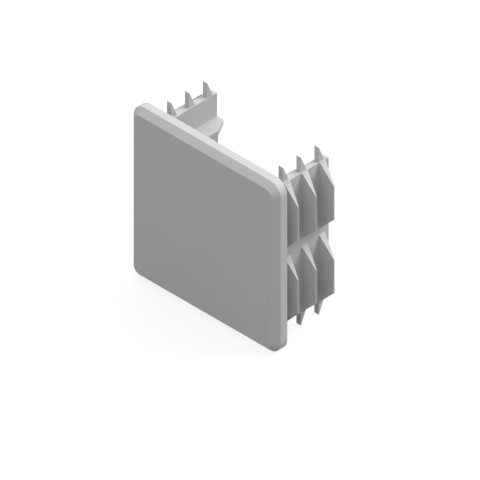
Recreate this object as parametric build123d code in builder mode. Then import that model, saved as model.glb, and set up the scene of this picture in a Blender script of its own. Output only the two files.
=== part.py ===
from build123d import *
import os

# Profile end cap: one plastic moulding that closes the open end of a square channel.
# X runs across the cap, Z up, and Y into the channel. The origin is the middle of the
# plate's back face, which seats on the channel's end. Sizes are in millimetres.

# Plate that covers the channel's end
plate_width = 41.0
plate_height = 41.0
plate_thickness = 3.2
plate_corner_radius = 3.0
plate_bevel = 1.35

# Two legs that reach into the channel, drafted so that they leave the mould
leg_root_thickness = 2.4
leg_end_thickness = 1.3
leg_edge_draft = 0.3
leg_end_margin = 1.15
root_fillet = 0.3

# Barbs that bite the channel's walls, in rows along each leg
tip_inset = 0.15
row_count = 3
first_row = 3.1
row_pitch = 5.0
barb_root = 1.6
side_barb_depth = 4.8
side_barb_tip = 0.25
side_barb_inset = 3.95
edge_barb_height = 3.45
edge_barb_tip = 0.1
edge_barb_fall = 0.1
edge_barb_inset = 0.05

# Stiffening box on the inner side of each leg, open at the leg's end
box_depth = 4.45
box_inset = 5.9
box_wall = 1.2
box_lead_length = 3.5
box_lead_width = 2.05

# Places that follow from the sizes above
side_reach = plate_width / 2 - tip_inset
edge_reach = plate_height / 2 - tip_inset
leg_centre = side_reach - side_barb_depth
leg_root_top = edge_reach - edge_barb_height
rows = [first_row + row_pitch * row for row in range(row_count)]
leg_length = rows[-1] + barb_root + leg_end_margin
side_tip_top = leg_root_top - side_barb_inset
edge_barb_width = leg_end_thickness - 2 * edge_barb_inset
box_face = leg_centre - box_depth
box_top = leg_root_top - box_inset
box_end = leg_length - box_lead_length


def leg_thickness(y):
    """Thickness of the leg's wall at a distance behind the plate."""
    return leg_root_thickness + (leg_end_thickness - leg_root_thickness) * y / leg_length


def leg_top(y):
    """Height of the leg's upper edge over the middle, at a distance behind the plate."""
    return leg_root_top - leg_edge_draft * y / leg_length


def side_barb(y):
    """Upper barb on the leg's outer side: a sawtooth in plan, its ends cut at 45 degrees."""
    wall = leg_centre + leg_thickness(y + barb_root) / 2
    top = leg_top(y + barb_root)
    with BuildPart() as barb:
        with BuildSketch(Plane.XY):
            with BuildLine():
                Polyline(
                    (leg_centre, y),
                    (side_reach, y),
                    (side_reach, y + side_barb_tip),
                    (wall, y + barb_root),
                    (leg_centre, y + barb_root),
                    close=True,
                )
            make_face()
        extrude(amount=top)
        with BuildSketch(Plane.XZ):
            with BuildLine():
                Polyline(
                    (leg_centre, 0),
                    (side_reach, side_barb_depth),
                    (side_reach, side_tip_top),
                    (side_reach - (top - side_tip_top), top),
                    (leg_centre, top),
                    close=True,
                )
            make_face()
        extrude(amount=-leg_length, mode=Mode.INTERSECT)
    return barb.part


# Plate, with a bevel all round its front face
with BuildPart() as plate:
    with BuildSketch(Plane.XZ):
        RectangleRounded(plate_width, plate_height, plate_corner_radius)
    extrude(amount=plate_thickness)
    chamfer(plate.faces().sort_by(Axis.Y)[0].outer_wire().edges(), plate_bevel)

# Leg on the +X side
with BuildPart() as leg:
    # Drafted wall
    with BuildSketch(Plane.XZ):
        with Locations((leg_centre, 0)):
            Rectangle(leg_root_thickness, 2 * leg_root_top)
    with BuildSketch(Plane.XZ.offset(-leg_length)):
        with Locations((leg_centre, 0)):
            Rectangle(leg_end_thickness, 2 * leg_top(leg_length))
    loft(ruled=True)

    # Side barbs, in an upper and a lower row with a notch between them
    for y in rows:
        barb = side_barb(y)
        add(barb)
        mirror(barb, about=Plane.XY)

    # Edge barbs: upright teeth on the leg's upper and lower edges
    for row, y in enumerate(rows):
        tip = edge_reach - edge_barb_fall * row
        with BuildSketch(Plane.YZ.offset(leg_centre - edge_barb_width / 2)):
            with BuildLine():
                Polyline(
                    (y, 0),
                    (y, tip),
                    (y + edge_barb_tip, tip),
                    (y + barb_root, leg_top(y + barb_root)),
                    (y + barb_root, 0),
                    close=True,
                )
            make_face()
            mirror(about=Plane.XZ)
        extrude(amount=edge_barb_width)

    # Stiffening box: two shelves with slanted ends, joined by a wall
    with BuildSketch(Plane.XY.offset(box_top), Plane.XY.offset(box_wall - box_top)):
        with BuildLine():
            Polyline(
                (leg_centre, 0),
                (box_face, 0),
                (box_face, box_end),
                (box_face + box_lead_width, leg_length),
                (leg_centre, leg_length),
                close=True,
            )
        make_face()
    extrude(amount=-box_wall)
    with BuildSketch(Plane.XY.offset(-box_top)):
        with Locations((box_face, 0)):
            Rectangle(box_wall, box_end, align=(Align.MIN, Align.MIN))
    extrude(amount=2 * box_top)

# The whole moulding: the plate, the leg and its mirror image
with BuildPart() as end_cap:
    add(plate.part)
    add(leg.part)
    mirror(leg.part, about=Plane.YZ)
    seat = end_cap.faces().filter_by_position(Axis.Y, 0, 0).sort_by(SortBy.AREA)[-1]
    fillet(seat.inner_wires().edges(), root_fillet)

os.makedirs("parts", exist_ok=True)
end_cap.part.label = "end_cap"
export_step(end_cap.part, "parts/end_cap.step")
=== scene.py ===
import math

import bpy
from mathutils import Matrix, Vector


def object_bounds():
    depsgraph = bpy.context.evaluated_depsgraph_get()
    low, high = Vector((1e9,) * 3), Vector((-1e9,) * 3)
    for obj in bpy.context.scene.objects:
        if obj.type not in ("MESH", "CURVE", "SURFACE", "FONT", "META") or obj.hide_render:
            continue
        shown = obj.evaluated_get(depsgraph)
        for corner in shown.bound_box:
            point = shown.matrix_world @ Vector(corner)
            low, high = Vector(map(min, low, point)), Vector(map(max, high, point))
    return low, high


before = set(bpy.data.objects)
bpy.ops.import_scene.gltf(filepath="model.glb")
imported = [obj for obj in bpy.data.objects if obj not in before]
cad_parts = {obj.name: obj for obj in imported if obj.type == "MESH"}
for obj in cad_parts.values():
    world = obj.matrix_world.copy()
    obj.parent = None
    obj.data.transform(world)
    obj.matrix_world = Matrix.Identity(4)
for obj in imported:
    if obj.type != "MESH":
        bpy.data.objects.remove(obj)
cad_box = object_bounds()

# Camera: a parallel view along the cube's diagonal, in metres
view_direction = Vector((-1, 1, -1)).normalized()
view_width = 0.094645
view_centre = Vector((0.003662, 0.003662, -0.003618))
camera_distance = 0.4
camera_near = 0.01
camera_far = 10.0

# Plastic: its tone, gloss and relief. Noise scales are per metre, the grain's depth in metres
plastic_tone = (0.465, 0.495)
plastic_roughness = (0.5, 0.62)
plastic_ior = 1.46
plastic_gloss = 0.35
mottle_scale = 90.0
polish_scale = 260.0
grain_scale = 6000.0
grain_depth = 0.00004
grain_strength = 0.6

# Floor: its width in metres, the paint that lights the object, and how it looks to the camera
floor_width = 4.0
floor_paint = 0.12
floor_shade = 0.2
floor_glow = 0.83

# Light levels: each lamp's direction from the object, its strength and its width in degrees
world_light = 0.72
lamp_distance = 0.5
lamps = {
    "top": ((-0.3, 0.5, 1.0), 1.1, 60),
    "back_side": ((0.7, 1.0, 1.2), 1.85, 30),
    "front_side": ((1.0, -1.4, 0.6), 0.46, 40),
}


def grey(level):
    """Opaque grey of one level, as a colour socket takes it."""
    return (level, level, level, 1)


def tools(tree):
    """Empties a node tree, and gives the functions that link two sockets and add a node."""
    tree.nodes.clear()

    def add(kind, **values):
        """Adds a node, with values for the sockets that they are named after."""
        node = tree.nodes.new(kind)
        for name, value in values.items():
            node.inputs[name.replace("_", " ")].default_value = value
        return node

    return tree.links.new, add


def new_material(name):
    """Makes an empty node material, and gives it with its link and add functions."""
    material = bpy.data.materials.new(name)
    material.use_nodes = True
    return material, *tools(material.node_tree)


def moulded_plastic():
    """Matte grey plastic as it leaves a spark-eroded mould: fine grain and faint mottling."""
    material, link, add = new_material("grey_plastic")
    place = add("ShaderNodeTexCoord").outputs["Object"]
    shader = add("ShaderNodeBsdfPrincipled")
    shader.inputs["IOR"].default_value = plastic_ior
    shader.inputs["Specular IOR Level"].default_value = plastic_gloss

    def noise(**values):
        """Noise over the object's own coordinates."""
        texture = add("ShaderNodeTexNoise", **values)
        link(place, texture.inputs["Vector"])
        return texture.outputs["Fac"]

    def spread(value, limits):
        """Value from 0 to 1, spread between two limits."""
        node = add("ShaderNodeMapRange", To_Min=limits[0], To_Max=limits[1])
        link(value, node.inputs["Value"])
        return node.outputs["Result"]

    # Slow mottling of the tone, as the melt cools
    tone = spread(noise(Scale=mottle_scale, Detail=3.0, Roughness=0.55), plastic_tone)
    colour = add("ShaderNodeCombineColor")
    for channel in ("Red", "Green", "Blue"):
        link(tone, colour.inputs[channel])
    link(colour.outputs["Color"], shader.inputs["Base Color"])

    # Roughness that varies a little from place to place
    sheen = spread(noise(Scale=polish_scale, Detail=2.0), plastic_roughness)
    link(sheen, shader.inputs["Roughness"])

    # Fine grain of the mould's surface
    bump = add("ShaderNodeBump", Strength=grain_strength, Distance=grain_depth)
    link(noise(Scale=grain_scale, Detail=2.0), bump.inputs["Height"])
    link(bump.outputs["Normal"], shader.inputs["Normal"])

    link(shader.outputs["BSDF"], add("ShaderNodeOutputMaterial").inputs["Surface"])
    return material


def larger(link, add, first, second):
    """Larger of two values."""
    node = add("ShaderNodeMath")
    node.operation = "MAXIMUM"
    link(first, node.inputs[0])
    link(second, node.inputs[1])
    return node.outputs[0]


def by_ray(link, add, unseen, seen):
    """One shader for diffuse light, and another for the camera's rays, gloss and glass."""
    rays = add("ShaderNodeLightPath").outputs
    gloss = larger(link, add, rays["Is Camera Ray"], rays["Is Glossy Ray"])
    mix = add("ShaderNodeMixShader")
    link(larger(link, add, gloss, rays["Is Transmission Ray"]), mix.inputs["Fac"])
    link(unseen, mix.inputs[1])
    link(seen, mix.inputs[2])
    return mix.outputs["Shader"]


def floor_material():
    """Pale floor that shows as white, with the object's shadow on it."""
    material, link, add = new_material("pale_floor")
    paint = add("ShaderNodeBsdfDiffuse", Color=grey(floor_paint))
    shade = add("ShaderNodeBsdfDiffuse", Color=grey(floor_shade))
    glow = add("ShaderNodeEmission", Strength=floor_glow)
    seen = add("ShaderNodeAddShader")
    link(shade.outputs["BSDF"], seen.inputs[0])
    link(glow.outputs["Emission"], seen.inputs[1])
    surface = by_ray(link, add, paint.outputs["BSDF"], seen.outputs["Shader"])
    link(surface, add("ShaderNodeOutputMaterial").inputs["Surface"])
    return material


def studio_world():
    """Soft light from all round, in a room that shows as white."""
    world = bpy.data.worlds.new("studio")
    world.use_nodes = True
    link, add = tools(world.node_tree)
    soft = add("ShaderNodeBackground", Color=grey(1), Strength=world_light)
    white = add("ShaderNodeBackground", Color=grey(1))
    surface = by_ray(link, add, soft.outputs["Background"], white.outputs["Background"])
    link(surface, add("ShaderNodeOutputWorld").inputs["Surface"])
    return world


def placed(name, data, place, back):
    """Puts a lamp or a camera in the scene, with its back turned to a direction."""
    item = bpy.data.objects.new(name, data)
    item.location = place
    item.rotation_mode = "QUATERNION"
    item.rotation_quaternion = back.to_track_quat("Z", "Y")
    bpy.context.scene.collection.objects.link(item)
    return item


# The cap itself
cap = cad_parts["end_cap"]
cap.data.materials.clear()
cap.data.materials.append(moulded_plastic())

# Floor under the cap's lower edge
bpy.ops.mesh.primitive_plane_add(size=floor_width, location=(0, 0, cad_box[0].z))
floor = bpy.context.object
floor.name = "floor"
floor.data.materials.append(floor_material())

# Light
bpy.context.scene.world = studio_world()
for name, (direction, strength, width) in lamps.items():
    back = Vector(direction).normalized()
    lamp = bpy.data.lights.new(name, "SUN")
    lamp.energy = strength
    lamp.angle = math.radians(width)
    placed(name, lamp, back * lamp_distance, back)

# Camera
camera = bpy.data.cameras.new("camera")
camera.type = "ORTHO"
camera.ortho_scale = view_width
camera.clip_start = camera_near
camera.clip_end = camera_far
bpy.context.scene.camera = placed(
    "camera", camera, view_centre - view_direction * camera_distance, -view_direction
)
bpy.context.scene.view_settings.view_transform = "Standard"
